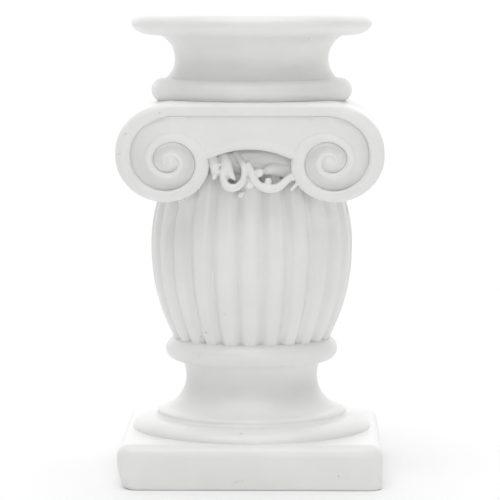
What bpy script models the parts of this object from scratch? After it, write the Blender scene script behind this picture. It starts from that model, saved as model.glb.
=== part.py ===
"""A small roman pillar, cast in one piece: a stout reeded barrel under an Ionic capital.

Lengths are in metres, +Z is up and the front faces -Y. The origin is the middle of the underside.
The casting is built up from plinth to top disc, each part standing on the one below it, and
Boolean unions melt them into the one solid that the mould gives.
"""

import math

import bmesh
import bpy
from mathutils import Matrix, Vector

# Plinth: a square slab with soft edges
PLINTH_SIDE = 0.0900
PLINTH_HEIGHT = 0.0153
PLINTH_CORNER = 0.0050
PLINTH_TOP_EDGE = 0.0042
PLINTH_FOOT_EDGE = 0.0008

# Foot: a low disc with a round edge, a step, a hollow bell and a ring
DISC_RADIUS = 0.0416
DISC_HEIGHT = 0.0043
DISC_ROUND = 0.0080
STEP_RADIUS = 0.0330
STEP_HEIGHT = 0.0028
STEP_CHAMFER = 0.0012
BELL_FOOT_RADIUS = 0.0300
BELL_WAIST_RADIUS = 0.0229
BELL_HEIGHT = 0.0167
BELL_WAIST_HEIGHT = 0.0110
BELL_HOLLOW = 0.0120
LOWER_RING_RADIUS = 0.0300
LOWER_RING_THICKNESS = 0.0079

# Barrel: a swelling shaft of round reeds
BARREL_FOOT_RADIUS = 0.0273
BARREL_BELLY_RADIUS = 0.0351
BARREL_BELLY_HEIGHT = 0.0330
BARREL_HEAD_RADIUS = 0.0270
BARREL_HEIGHT = 0.0677
BARREL_TENON = 0.0046
SWELL_POWER = 2.2
REED_COUNT = 24
REED_DEPTH = 0.0012

# Capital: a slab whose two sides roll up into volutes
CAPITAL_DEPTH = 0.0780
CAPITAL_EDGE = 0.0022
SLAB_HEIGHT = 0.0158
RIM_WIDTH = 0.0044
ARCH_RIM_WIDTH = 0.0034
EYE_OFFSET = 0.0269
VOLUTE_RADIUS = 0.0198
VOLUTE_WIDEN = 1.11
VOLUTE_SHOULDER = 0.028
FIRST_TURN_SHRINK = 0.51
NEXT_TURN_SHRINK = 0.34
RIM_SHARE = 0.31
ARCH_TURN = 0.76
JOIN_TURN = 0.80
CHANNEL_TURNS = 1.85
CHANNEL_DEPTH = 0.0018

# Leaf scroll in the arch
SCROLL_SETBACK = 0.0012
SCROLL_ROOT = 0.0030
SCROLL_LAP = 0.0002
SCROLL_BAND = 0.0021
LOOP_OFFSET = -0.0052
LOOP_DROP = 0.0086
LOOP_WIDTH = 0.0088
LOOP_HEIGHT = 0.0106
SWAG_OFFSET = 0.0072
SWAG_DROP = 0.0088
SWAG_WIDTH = 0.0150
SWAG_HEIGHT = 0.0110
KNOB_OFFSET = 0.0030
KNOB_DROP = 0.0077
KNOB_RADIUS = 0.0016
BUD_RADIUS = 0.0012
LEAF_WIDTH = 0.0019
STEM_LEAN = 0.0010

# Places of the leaves: shares of the loop's or the swag's width and height, from its middle
TONGUE_TOP = (-0.22, 0.42)
TONGUE_TIP = (0.06, -0.20)
LEAF_HEAD = (-0.75, 0.26)
LEAF_FOOT = (-0.75, -0.14)
CURL_MIDDLE = (0.22, -0.62)
ARM_MIDDLE = (0.0, 0.26)
ARM_TIP = (0.30, 0.22)
BUD_MIDDLE = (-0.06, -0.15)

# Panel that closes the back arch, a half ellipse under the arch's crown
PANEL_SETBACK = 0.0030
PANEL_WIDTH = 0.0470
PANEL_DROP = 0.0178

# Crown: a ring, a hollow neck and a flat top disc
UPPER_RING_RADIUS = 0.0349
UPPER_RING_THICKNESS = 0.0084
UPPER_RING_SINK = 0.0014
NECK_WAIST_RADIUS = 0.0267
NECK_WAIST_HEIGHT = 0.0067
NECK_HEIGHT = 0.0149
NECK_HOLLOW = 0.0088
TOP_RADIUS = 0.0418
TOP_THICKNESS = 0.0076
TOP_UPPER_EDGE = 0.0034
TOP_UPPER_REACH = 0.0050
TOP_LOWER_REACH = 0.0075

# How finely round forms are faceted
TURN_STEPS = 46
REED_FACETS = 4
BARREL_ROWS = 12
OUTLINE_STEPS = 28
CHANNEL_STEPS = 17
ARC_STEPS = 6
SINK = 0.0020

# Levels, each one from the parts under it
plinth_top = PLINTH_HEIGHT
step_foot = plinth_top + DISC_HEIGHT
bell_foot = step_foot + STEP_HEIGHT
bell_top = bell_foot + BELL_HEIGHT
ring_top = bell_top + LOWER_RING_THICKNESS
belly_level = ring_top + BARREL_BELLY_HEIGHT
arch_crown = ring_top + BARREL_HEIGHT
barrel_top = arch_crown + BARREL_TENON
capital_top = arch_crown + SLAB_HEIGHT
eye_level = capital_top - VOLUTE_RADIUS
upper_ring_foot = capital_top - UPPER_RING_SINK
neck_foot = upper_ring_foot + UPPER_RING_THICKNESS
neck_top = neck_foot + NECK_HEIGHT
pillar_top = neck_top + TOP_THICKNESS
capital_front = CAPITAL_DEPTH / 2


def clear_scene():
    for old in list(bpy.data.objects):
        bpy.data.objects.remove(old, do_unlink=True)


def make_collection(name):
    collection = bpy.data.collections.new(name)
    bpy.context.scene.collection.children.link(collection)
    return collection


def cast_white():
    """The satin white of the whole casting."""
    material = bpy.data.materials.new("cast_white")
    material.use_nodes = True
    shader = material.node_tree.nodes["Principled BSDF"]
    shader.inputs["Base Color"].default_value = (0.83, 0.83, 0.82, 1.0)
    shader.inputs["Roughness"].default_value = 0.42
    shader.inputs["Metallic"].default_value = 0.0
    return material


def new_object(name, data, collection):
    thing = bpy.data.objects.new(name, data)
    collection.objects.link(thing)
    return thing


def baked(thing, name, collection):
    """The evaluated shape of thing as a plain closed mesh in world space. Thing itself goes."""
    bpy.context.view_layer.update()
    depsgraph = bpy.context.evaluated_depsgraph_get()
    mesh = bpy.data.meshes.new_from_object(thing.evaluated_get(depsgraph))
    mesh.transform(thing.matrix_world)
    bm = bmesh.new()
    bm.from_mesh(mesh)
    bmesh.ops.remove_doubles(bm, verts=bm.verts, dist=1e-6)
    bmesh.ops.recalc_face_normals(bm, faces=bm.faces)
    bm.to_mesh(mesh)
    bm.free()
    bpy.data.objects.remove(thing, do_unlink=True)
    return new_object(name, mesh, collection)


def merge_flat_faces(thing):
    """Joins the triangles of each flat cap into one face, so that a bevel runs round it cleanly."""
    bm = bmesh.new()
    bm.from_mesh(thing.data)
    bmesh.ops.dissolve_limit(bm, angle_limit=math.radians(0.5), verts=bm.verts, edges=bm.edges)
    bm.to_mesh(thing.data)
    bm.free()


def as_helper(thing):
    thing.hide_render = True
    thing.display_type = "WIRE"
    return thing


def add_boolean(target, tool, operation):
    modifier = target.modifiers.new(f"{operation.lower()} {tool.name}", "BOOLEAN")
    modifier.object = tool
    modifier.operation = operation
    modifier.solver = "EXACT"


def arc(centre, reach, start, end, steps=ARC_STEPS):
    """Points on an ellipse round centre, from start to end in degrees; 0 is +X and 90 is up."""
    points = []
    for step in range(steps + 1):
        angle = math.radians(start + (end - start) * step / steps)
        points.append((centre[0] + reach[0] * math.cos(angle), centre[1] + reach[1] * math.sin(angle)))
    return points


def hollow(waist_radius, waist_level, bend, top, foot):
    """A hollow neck in profile, top to foot: a circle's arc whose deepest point is the waist."""
    slopes = [max(-1.0, min(1.0, (level - waist_level) / bend)) for level in (top, foot)]
    start, end = [math.degrees(math.asin(slope)) for slope in slopes]
    return arc((waist_radius + bend, waist_level), (-bend, bend), start, end)


def turned(name, profile, collection):
    """A solid of revolution from (radius, level) points, from the axis at the top to the bottom."""
    mesh = bpy.data.meshes.new(name)
    bm = bmesh.new()
    corners = [bm.verts.new((radius, 0.0, level)) for radius, level in profile]
    for upper, lower in zip(corners, corners[1:]):
        bm.edges.new((upper, lower))
    bm.to_mesh(mesh)
    bm.free()
    thing = new_object(name, mesh, collection)
    screw = thing.modifiers.new("turn", "SCREW")
    screw.axis = "Z"
    screw.angle = math.tau
    screw.steps = TURN_STEPS
    screw.render_steps = TURN_STEPS
    screw.use_merge_vertices = True
    screw.merge_threshold = 1e-6
    return baked(thing, name, collection)


def make_plinth(collection):
    bm = bmesh.new()
    bmesh.ops.create_cube(bm, size=1.0)
    bmesh.ops.scale(bm, vec=(PLINTH_SIDE, PLINTH_SIDE, PLINTH_HEIGHT), verts=bm.verts)
    bmesh.ops.translate(bm, vec=(0.0, 0.0, PLINTH_HEIGHT / 2), verts=bm.verts)

    def bevel(width, segments, chosen):
        edges = [edge for edge in bm.edges if chosen(edge)]
        bmesh.ops.bevel(bm, geom=edges, offset=width, segments=segments, profile=0.5, affect="EDGES")

    def levels(edge):
        return sorted(corner.co.z for corner in edge.verts)

    bevel(PLINTH_CORNER, 3, lambda edge: levels(edge)[0] < levels(edge)[1])
    bevel(PLINTH_TOP_EDGE, 3, lambda edge: levels(edge)[0] > PLINTH_HEIGHT * 0.999)
    bevel(PLINTH_FOOT_EDGE, 1, lambda edge: levels(edge)[1] < PLINTH_HEIGHT * 0.001)
    mesh = bpy.data.meshes.new("plinth")
    bm.to_mesh(mesh)
    bm.free()
    return new_object("plinth", mesh, collection)


def make_foot(collection):
    """Low disc, step, bell and lower ring, turned in one."""
    half_ring = LOWER_RING_THICKNESS / 2
    ring_level = ring_top - half_ring
    waist_level = bell_foot + BELL_WAIST_HEIGHT
    bell = hollow(BELL_WAIST_RADIUS, waist_level, BELL_HOLLOW, bell_top, bell_foot)
    profile = [(0.0, ring_top)]
    profile += arc((LOWER_RING_RADIUS - half_ring, ring_level), (half_ring, half_ring), 90, -80, 7)
    profile += bell[:-1]
    profile.append((BELL_FOOT_RADIUS, bell_foot))
    profile.append((STEP_RADIUS, bell_foot - STEP_CHAMFER))
    profile.append((STEP_RADIUS, step_foot))
    profile += arc((DISC_RADIUS - DISC_ROUND, plinth_top), (DISC_ROUND, DISC_HEIGHT), 90, 0, 4)
    profile.append((DISC_RADIUS, plinth_top - SINK))
    profile.append((0.0, plinth_top - SINK))
    return turned("foot", profile, collection)


def barrel_radius(level):
    """Radius over the crests of the reeds: a full belly that draws in to ring and capital."""
    rise = level - belly_level
    if rise < 0:
        share = min(-rise / BARREL_BELLY_HEIGHT, 1.0)
        return BARREL_BELLY_RADIUS - (BARREL_BELLY_RADIUS - BARREL_FOOT_RADIUS) * share**SWELL_POWER
    share = min(rise / (barrel_top - belly_level), 1.0)
    return BARREL_HEAD_RADIUS + (BARREL_BELLY_RADIUS - BARREL_HEAD_RADIUS) * (1 - share * share) ** 2


def reed_fall(angle):
    """How far the surface lies under the crests: nothing on a crest, most in a valley."""
    reed = angle / math.tau * REED_COUNT
    return REED_DEPTH * (2 * (reed - round(reed))) ** 2


def make_barrel(collection):
    foot = ring_top - SINK
    bm = bmesh.new()
    segments = REED_COUNT * REED_FACETS
    bmesh.ops.create_cone(bm, cap_ends=True, segments=segments, radius1=1.0, radius2=1.0, depth=1.0)
    uprights = [edge for edge in bm.edges if edge.verts[0].co.z * edge.verts[1].co.z < 0]
    bmesh.ops.subdivide_edges(bm, edges=uprights, cuts=BARREL_ROWS - 1, use_grid_fill=True)
    for corner in bm.verts:
        level = foot + (corner.co.z + 0.5) * (barrel_top - foot)
        angle = math.atan2(corner.co.y, corner.co.x)
        radius = barrel_radius(level) - reed_fall(angle)
        corner.co = (radius * math.cos(angle), radius * math.sin(angle), level)
    mesh = bpy.data.meshes.new("barrel")
    bm.to_mesh(mesh)
    bm.free()
    return new_object("barrel", mesh, collection)


def make_crown(collection):
    """Upper ring, neck and top disc, turned in one."""
    half_ring = UPPER_RING_THICKNESS / 2
    ring_level = upper_ring_foot + half_ring
    widest = pillar_top - TOP_UPPER_EDGE
    lower_edge = widest - neck_top
    neck = hollow(NECK_WAIST_RADIUS, neck_foot + NECK_WAIST_HEIGHT, NECK_HOLLOW, neck_top, neck_foot)
    profile = [(0.0, pillar_top)]
    profile += arc((TOP_RADIUS - TOP_UPPER_REACH, widest), (TOP_UPPER_REACH, TOP_UPPER_EDGE), 90, 0, 4)
    profile += arc((TOP_RADIUS - TOP_LOWER_REACH, widest), (TOP_LOWER_REACH, lower_edge), -15, -80, 4)
    profile += neck
    profile += arc((UPPER_RING_RADIUS - half_ring, ring_level), (half_ring, half_ring), 80, -90, 7)
    profile.append((0.0, upper_ring_foot))
    return turned("crown", profile, collection)


def volute_radius(turn):
    """From the eye to the outer edge of the rim, after so many turns from straight up."""
    first = min(turn, 1.0)
    later = max(turn - 1.0, 0.0)
    fullness = 1.0
    if turn < 0.25:
        fullness += VOLUTE_SHOULDER * math.sin(2 * math.tau * turn) ** 2
    return VOLUTE_RADIUS * fullness * FIRST_TURN_SHRINK**first * NEXT_TURN_SHRINK**later


def volute_point(turn, share=1.0):
    """A point (x, z) on the right-hand spiral, or inside it by a share of its radius."""
    radius = volute_radius(turn) * share
    angle = turn * math.tau
    return EYE_OFFSET + VOLUTE_WIDEN * radius * math.sin(angle), eye_level + radius * math.cos(angle)


def rim_inner_share(turn):
    """Where the rim's inner edge lies: the rim widens from the band's width over half a turn."""
    band_share = RIM_WIDTH / VOLUTE_RADIUS
    return 1.0 - (band_share + (RIM_SHARE - band_share) * min(turn / 0.5, 1.0))


def spiral(start, end, steps_a_turn, share=lambda turn: 1.0):
    steps = max(2, round(abs(end - start) * steps_a_turn))
    turns = [start + (end - start) * step / steps for step in range(steps + 1)]
    return [volute_point(turn, share(turn)) for turn in turns]


def arch(spring, crown_level):
    """A flat bow from its spring on the right to the crown over the middle."""
    points = []
    for step in range(1, ARC_STEPS + 1):
        share = 1 - step / ARC_STEPS
        points.append((spring[0] * share, crown_level - (crown_level - spring[1]) * share * share))
    return points


def both_halves(half):
    """A closed outline from its right half, which starts and ends on the middle line."""
    return half + [(-x, z) for x, z in reversed(half[1:-1])]


def capital_outline():
    half = [(0.0, capital_top)] + spiral(0.0, ARCH_TURN, OUTLINE_STEPS)
    return both_halves(half + arch(half[-1], arch_crown))


def channel_outline():
    """The sunk channel: it runs in from one eye, under the top band, and in to the other eye."""
    half = [(0.0, capital_top - RIM_WIDTH)]
    half += spiral(0.0, CHANNEL_TURNS, CHANNEL_STEPS, rim_inner_share)
    half += spiral(CHANNEL_TURNS + 1.0, JOIN_TURN, CHANNEL_STEPS)
    return both_halves(half + arch(half[-1], arch_crown + ARCH_RIM_WIDTH))


def plate(name, outlines, front, back, collection):
    """A flat outline of (x, z) points, extruded from y = front to y = back."""
    curve = bpy.data.curves.new(name, "CURVE")
    curve.dimensions = "2D"
    curve.fill_mode = "BOTH"
    curve.extrude = (back - front) / 2
    for outline in outlines:
        spline = curve.splines.new("POLY")
        spline.points.add(len(outline) - 1)
        for point, (x, z) in zip(spline.points, outline):
            point.co = (x, z, 0.0, 1.0)
        spline.use_cyclic_u = True
    thing = new_object(name, curve, collection)
    thing.matrix_world = Matrix.Translation((0.0, (front + back) / 2, 0.0)) @ Matrix.Rotation(math.pi / 2, 4, "X")
    return baked(thing, name, collection)


def make_capital(collection):
    block = plate("block", [capital_outline()], -capital_front, capital_front, collection)
    merge_flat_faces(block)
    rounding = block.modifiers.new("soft edges", "BEVEL")
    rounding.width = CAPITAL_EDGE
    rounding.segments = 2
    rounding.limit_method = "ANGLE"
    rounding.angle_limit = math.radians(60)
    for side, y in (("front", -capital_front), ("back", capital_front)):
        reach = sorted((y - math.copysign(CHANNEL_DEPTH, y), y + math.copysign(SINK, y)))
        channel = plate(f"channel_{side}", [channel_outline()], reach[0], reach[1], collection)
        add_boolean(block, as_helper(channel), "DIFFERENCE")
    return block


def ribbon(path, width):
    """The outline of a band of this width along a path, pointed a little at both ends."""
    left = []
    right = []
    last = len(path) - 1
    for index, point in enumerate(path):
        before = Vector(path[max(index - 1, 0)])
        after = Vector(path[min(index + 1, last)])
        along = (after - before).normalized()
        half = width / 2 * (0.45 if index in (0, last) else 1.0)
        left.append((point[0] - along.y * half, point[1] + along.x * half))
        right.append((point[0] + along.y * half, point[1] - along.x * half))
    return left + right[::-1]


def round_outline(centre, reach, corners):
    """A closed ellipse, or a circle, without its first point said twice."""
    return arc(centre, reach, 0, 360 * (corners - 1) / corners, corners - 1)


def scroll_outlines(full):
    """The leaf scroll seen from the front: a loop on the left and a swag on the right, and where
    it is full also its knobs and leaves."""
    loop_size = (LOOP_WIDTH, LOOP_HEIGHT)
    swag_size = (SWAG_WIDTH, SWAG_HEIGHT)
    loop_centre = (LOOP_OFFSET, arch_crown - LOOP_DROP)
    swag_centre = (SWAG_OFFSET, arch_crown - SWAG_DROP)

    def within(centre, size, share):
        return centre[0] + size[0] * share[0], centre[1] + size[1] * share[1]

    outer = (LOOP_WIDTH / 2, LOOP_HEIGHT / 2)
    inner = (outer[0] - SCROLL_BAND, outer[1] - SCROLL_BAND)
    swag = arc(swag_centre, (SWAG_WIDTH / 2, SWAG_HEIGHT / 2), 180, 360, 10)
    stem_top = (swag[0][0] - STEM_LEAN, swag[0][1] + SWAG_HEIGHT / 2)
    outlines = {
        "loop": [round_outline(loop_centre, outer, 24), round_outline(loop_centre, inner, 18)],
        "swag": [ribbon([stem_top] + swag, SCROLL_BAND)],
    }
    if not full:
        return outlines
    knob = (KNOB_OFFSET, arch_crown - KNOB_DROP)
    arm = [knob, within(swag_centre, swag_size, ARM_MIDDLE), within(swag_centre, swag_size, ARM_TIP)]
    tongue = [within(loop_centre, loop_size, share) for share in (TONGUE_TOP, TONGUE_TIP)]
    leaf = [within(loop_centre, loop_size, share) for share in (LEAF_HEAD, LEAF_FOOT)]
    bud = within(swag_centre, swag_size, BUD_MIDDLE)
    curl = within(loop_centre, loop_size, CURL_MIDDLE)
    outlines["knob"] = [round_outline(knob, (KNOB_RADIUS, KNOB_RADIUS), 10)]
    outlines["arm"] = [ribbon(arm, LEAF_WIDTH)]
    outlines["tongue"] = [ribbon(tongue, LEAF_WIDTH)]
    outlines["leaf"] = [ribbon(leaf, LEAF_WIDTH)]
    outlines["bud"] = [round_outline(bud, (BUD_RADIUS, BUD_RADIUS), 8)]
    outlines["curl"] = [round_outline(curl, (BUD_RADIUS, BUD_RADIUS), 8)]
    return outlines


def make_scrolls(collection):
    """The full scroll stands in the front arch. The back arch has a plainer one, turned half round.
    Each leaf grows out of the barrel, and its root lies inside the barrel's head."""
    scrolls = []
    for side, full, turn in (("front", True, 0.0), ("back", False, math.pi)):
        face = -capital_front + SCROLL_SETBACK
        root = -BARREL_HEAD_RADIUS + SCROLL_ROOT
        for part, outlines in scroll_outlines(full).items():
            face += SCROLL_LAP
            root += SCROLL_LAP
            scroll = plate(f"{part}_{side}", outlines, face, root, collection)
            scroll.data.transform(Matrix.Rotation(turn, 4, "Z"))
            scrolls.append(scroll)
    return scrolls


def make_back_panel(collection):
    """The plain ground behind the back scroll, from the middle of the barrel out to the back arch."""
    half = arc((0.0, arch_crown), (PANEL_WIDTH / 2, PANEL_DROP), 0, -180, 10)
    shoulders = [(x, z + SINK) for x, z in (half[-1], half[0])]
    return plate("panel_back", [shoulders + half], 0.0, capital_front - PANEL_SETBACK, collection)


def build():
    clear_scene()
    model = make_collection("roman_pillar")
    helpers = make_collection("cast_parts")
    pillar = make_plinth(model)
    pillar.name = "pillar"
    pillar.data.name = "pillar"
    parts = [make_foot(helpers), make_barrel(helpers), make_capital(helpers), make_crown(helpers)]
    parts.append(make_back_panel(helpers))
    for part in parts + make_scrolls(helpers):
        add_boolean(pillar, as_helper(part), "UNION")
    pillar.data.materials.append(cast_white())
    pillar.data.shade_smooth()
    pillar.data.set_sharp_from_angle(angle=math.radians(40))


build()
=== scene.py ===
"""A small roman pillar, cast in one piece in satin white, on a plain pale floor.

Lengths are in metres, +Z is up and the front faces -Y. The casting is modelled part by part, finely. The
small flaws are cut into the parts, and these are then melted into the one closed skin that it has.
"""

import math

import bmesh
import bpy
import numpy as np
from mathutils import Matrix, Vector


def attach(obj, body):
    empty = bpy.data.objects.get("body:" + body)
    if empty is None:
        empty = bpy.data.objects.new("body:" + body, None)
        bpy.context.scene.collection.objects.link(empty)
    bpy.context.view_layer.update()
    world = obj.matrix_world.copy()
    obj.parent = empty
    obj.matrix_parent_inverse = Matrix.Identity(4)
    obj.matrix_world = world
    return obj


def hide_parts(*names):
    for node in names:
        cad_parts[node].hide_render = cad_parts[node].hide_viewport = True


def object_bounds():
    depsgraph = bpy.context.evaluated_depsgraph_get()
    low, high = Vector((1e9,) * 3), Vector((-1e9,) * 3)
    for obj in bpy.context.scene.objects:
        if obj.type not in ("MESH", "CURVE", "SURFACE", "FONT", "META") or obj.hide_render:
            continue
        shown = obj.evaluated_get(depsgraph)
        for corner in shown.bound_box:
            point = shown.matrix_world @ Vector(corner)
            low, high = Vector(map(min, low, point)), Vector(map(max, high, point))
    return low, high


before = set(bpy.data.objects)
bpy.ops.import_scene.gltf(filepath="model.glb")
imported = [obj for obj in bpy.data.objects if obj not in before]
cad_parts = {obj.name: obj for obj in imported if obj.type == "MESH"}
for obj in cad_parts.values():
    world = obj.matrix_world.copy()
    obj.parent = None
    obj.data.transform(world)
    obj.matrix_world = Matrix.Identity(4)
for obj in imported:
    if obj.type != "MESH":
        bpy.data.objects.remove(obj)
cad_low, cad_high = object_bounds()

# Plinth
PLINTH_HEIGHT = 0.0153
PLINTH_CORNER = 0.0050
PLINTH_TOP_EDGE = 0.0042
PLINTH_FOOT_EDGE = 0.0008
TUCK_DEPTH = 0.0029
TUCK_HEIGHT = 0.0090
TUCK_AT_BACK = 0.3
TUCK_ROWS = (0.15, 0.3, 0.45, 0.6, 0.8)
SOFT_EDGE_STEPS = 10
FOOT_EDGE_STEPS = 3

# Foot
DISC_RADIUS = 0.0416
DISC_HEIGHT = 0.0043
DISC_ROUND = 0.0080
STEP_RADIUS = 0.0330
STEP_HEIGHT = 0.0028
STEP_CHAMFER = 0.0014
STEP_ROUND = 0.0030
BELL_FOOT_RADIUS = 0.0300
BELL_WAIST_RADIUS = 0.0229
BELL_HEIGHT = 0.0167
BELL_WAIST_HEIGHT = 0.0110
BELL_HOLLOW = 0.0120
LOWER_RING_RADIUS = 0.0300
LOWER_RING_THICKNESS = 0.0079

# Barrel
BARREL_FOOT_RADIUS = 0.0273
BARREL_BELLY_RADIUS = 0.0351
BARREL_BELLY_HEIGHT = 0.0330
BARREL_HEAD_RADIUS = 0.0270
BARREL_HEIGHT = 0.0677
BARREL_TENON = 0.0046
SWELL_POWER = 2.2
REED_COUNT = 24
REED_DEPTH = 0.0020
REED_DEPTH_AT_FOOT = 0.0019
REED_POWER = 2.7
DEEPENING_POWER = 3.0

# Capital
CAPITAL_DEPTH = 0.0780
EDGE_DROP = 0.0022
SLAB_HEIGHT = 0.0158
RIM_WIDTH = 0.0044
ARCH_RIM_WIDTH = 0.0034
ARCH_RIM_CREST = 0.0
ARCH_CREST_SHARE = 0.5
PANEL_DEPTH = 0.0006
SIDE_BULGE = 0.00017
BULGE_FADE_TURN = 0.12

# Volutes; what ends in TURN, here and above, is counted in turns from straight up
EYE_OFFSET = 0.0269
VOLUTE_RADIUS = 0.0198
VOLUTE_WIDEN = 1.11
VOLUTE_SHOULDER = 0.028
SHOULDER_TURN = 0.25
CHANNEL_DEPTH = 0.0027
CHANNEL_SAG = 0.0005
SAG_TURN = 0.25
CREASE_DEPTH = 0.00026
CREASE_END_TURN = 2.0
CREASE_FADE_TURN = 0.6
EYE_DOME = 0.00035
EYE_AHEAD_TURN = 0.3
EYE_MIDDLE_TURN = 3.9

# How finely the capital is divided
STEPS_A_TURN = 100
ARCH_STEP = 76
LAST_STEP = 230
ARCH_COLUMNS = 22
WALL_ROWS = 14
SHOULDER_ROWS = 8
CREST_ROWS = 2
BROW_ROWS = 5
PANEL_STEPS = 4
RIM_STEPS = 8
LEAST_RIM = 0.1
CREASE_SHARE = 0.05
EVEN_TURN = 0.1
EYE_RINGS = (0.75, 0.5, 0.25)

# How the volute changes from its top, at turn 0, to its eye: (turn, value)
RADII = (
    (0.0, VOLUTE_RADIUS), (0.25, 0.0165), (0.5, 0.0136), (0.75, 0.0118), (1.0, 0.0094),
    (1.25, 0.0076), (1.5, 0.0060), (1.75, 0.0044), (2.0, 0.0033), (2.25, 0.0026), (2.5, 0.0020),
    (3.0, 0.0012), (3.4, 0.0008),
)
RIM_SHARES = ((0.25, 0.53), (0.5, 0.51), (0.75, 0.58), (1.0, 0.48), (1.3, 0.53), (1.8, 0.70))
OUTER_ROUNDS = ((0.0, 0.50), (0.25, 0.62), (0.9, 0.60), (1.3, 0.56), (2.3, 0.50))
INNER_ROUNDS = ((0.0, 0.93), (0.25, 0.86), (0.9, 0.84), (1.3, 0.66), (2.3, 0.55))
FLOOR_DEPTHS = (
    (0.0, PANEL_DEPTH), (0.12, 0.0018), (0.25, CHANNEL_DEPTH), (0.5, CHANNEL_DEPTH), (0.75, 0.0025),
    (1.0, 0.0021), (1.4, 0.0016), (1.62, 0.0012), (1.78, 0.0005), (2.3, 0.0002),
)
RISE_SHARES = ((0.0, 1.0), (0.25, 0.50), (1.4, 0.45), (2.3, 0.45))

# Crown
UPPER_RING_RADIUS = 0.0349
UPPER_RING_THICKNESS = 0.0084
UPPER_RING_SINK = 0.0014
NECK_WAIST_RADIUS = 0.0267
NECK_WAIST_HEIGHT = 0.0067
NECK_HEIGHT = 0.0149
NECK_HOLLOW = 0.0088
TOP_RADIUS = 0.0418
TOP_UPPER_EDGE = 0.0034
TOP_UPPER_REACH = 0.0050
TOP_LOWER_REACH = 0.0075

# How finely the turned parts and the barrel are divided
TURN_COLUMNS = 192
BARREL_COLUMNS = 384
BARREL_ROWS = 58

# How far parts that meet run into each other
SINK = 0.0020

# Leaf scroll: each band runs through (right of the middle, under the arch's crown, half width, setback)
LOOP_BAND = (
    (-0.0053, 0.0014, 0.0011, 0.0056), (-0.00352, 0.0034, 0.0012, 0.0036),
    (-0.00215, 0.0056, 0.0011, 0.0011), (-0.00188, 0.008, 0.001, 0.0),
    (-0.0025, 0.0106, 0.0011, 0.0), (-0.00409, 0.0124, 0.0013, 0.0),
    (-0.0062, 0.0129, 0.00138, 0.0), (-0.008, 0.0119, 0.0013, 0.0),
    (-0.0089, 0.0098, 0.0012, 0.0002), (-0.0089, 0.0074, 0.0011, 0.0006),
    (-0.0085, 0.0052, 0.001, 0.0012),
)
SWAG_BAND = (
    (-0.0008, 0.0046, 0.0011, 0.0014), (0.0001, 0.007, 0.0013, 0.0004),
    (0.0012, 0.0094, 0.00128, 0.0), (0.0028, 0.0116, 0.0013, 0.0), (0.005, 0.0129, 0.00138, 0.0),
    (0.0077, 0.0131, 0.0014, 0.0), (0.0102, 0.0123, 0.00136, 0.0002),
    (0.0119, 0.0108, 0.00128, 0.0005), (0.0136, 0.0095, 0.00125, 0.0008),
    (0.0152, 0.0084, 0.0012, 0.001),
)
TONGUE_LEAF = (
    (-0.0098, 0.0016, 0.0015, 0.0046), (-0.0087, 0.0034, 0.00215, 0.003),
    (-0.0079, 0.0054, 0.00205, 0.0015), (-0.007, 0.0074, 0.00165, 0.0008),
    (-0.0058, 0.0091, 0.00095, 0.0007), (-0.0048, 0.0103, 0.0003, 0.001),
)
WEB_LEAF = (
    (-0.0088, 0.006, 0.0013, 0.0016), (-0.008, 0.0082, 0.00125, 0.0018),
    (-0.007, 0.01, 0.0009, 0.0022),
)
LEFT_LEAF = (
    (-0.0131, 0.0022, 0.0017, 0.0026), (-0.0124, 0.0042, 0.0018, 0.0015),
    (-0.0119, 0.0061, 0.0017, 0.001), (-0.0118, 0.0081, 0.00125, 0.0011),
    (-0.0122, 0.0102, 0.0005, 0.0016),
)
ARM_LEAF = (
    (0.0052, 0.0074, 0.0013, 0.0018), (0.0068, 0.0069, 0.002, 0.0038),
    (0.0091, 0.0069, 0.0026, 0.0054), (0.0115, 0.0071, 0.0027, 0.006),
    (0.0146, 0.0071, 0.0025, 0.006),
)
GROUND_BAND = (
    (-0.0136, 0.0052, 0.0035, 0.0066), (-0.008, 0.005, 0.0047, 0.0078),
    (0.0, 0.0048, 0.0054, 0.0092), (0.008, 0.0052, 0.0052, 0.0092), (0.016, 0.0064, 0.0044, 0.0086),
)
LOW_GROUND_BAND = (
    (-0.0086, 0.0098, 0.003, 0.008), (0.0, 0.0104, 0.003, 0.008), (0.01, 0.0098, 0.003, 0.008),
)
TWIG_BAND = (
    (0.0162, 0.0108, 0.00062, 0.0006), (0.0149, 0.0124, 0.00062, 0.0008),
    (0.0138, 0.0138, 0.0005, 0.0012),
)

# Knobs on the scroll: (right of the middle, under the arch's crown, behind the scroll's face, radius)
KNOBS = (
    (0.0032, 0.0078, 0.0, 0.00148), (0.0062, 0.0107, 0.0003, 0.00128),
    (-0.0001, 0.012, 0.0006, 0.00135), (-0.0003, 0.0104, 0.0014, 0.0011),
    (-0.011, 0.0058, 0.0003, 0.0005), (-0.0121, 0.0068, 0.0004, 0.0005),
    (-0.0106, 0.0077, 0.0005, 0.0005), (-0.0122, 0.0088, 0.0008, 0.00042),
    (-0.0113, 0.0092, 0.0009, 0.00042), (-0.0101, 0.005, 0.0007, 0.0005),
    (-0.0123, 0.0052, 0.0005, 0.00045), (-0.0031, 0.0157, 0.0062, 0.0011),
    (-0.0024, 0.015, 0.0058, 0.0006), (0.0146, 0.01, 0.0002, 0.0005),
    (0.0154, 0.0094, 0.0003, 0.00045),
)

# Crumbs under the left volute: (right of the middle, under the arch's crown, behind the face, radius)
CRUMBS = (
    (-0.0238, 0.0174, 0.003, 0.0006), (-0.0225, 0.0167, 0.0024, 0.00065),
    (-0.0211, 0.0157, 0.002, 0.00065), (-0.0196, 0.0147, 0.0026, 0.00065),
    (-0.0183, 0.0138, 0.0022, 0.0006), (-0.0173, 0.0131, 0.0028, 0.00055),
)

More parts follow.
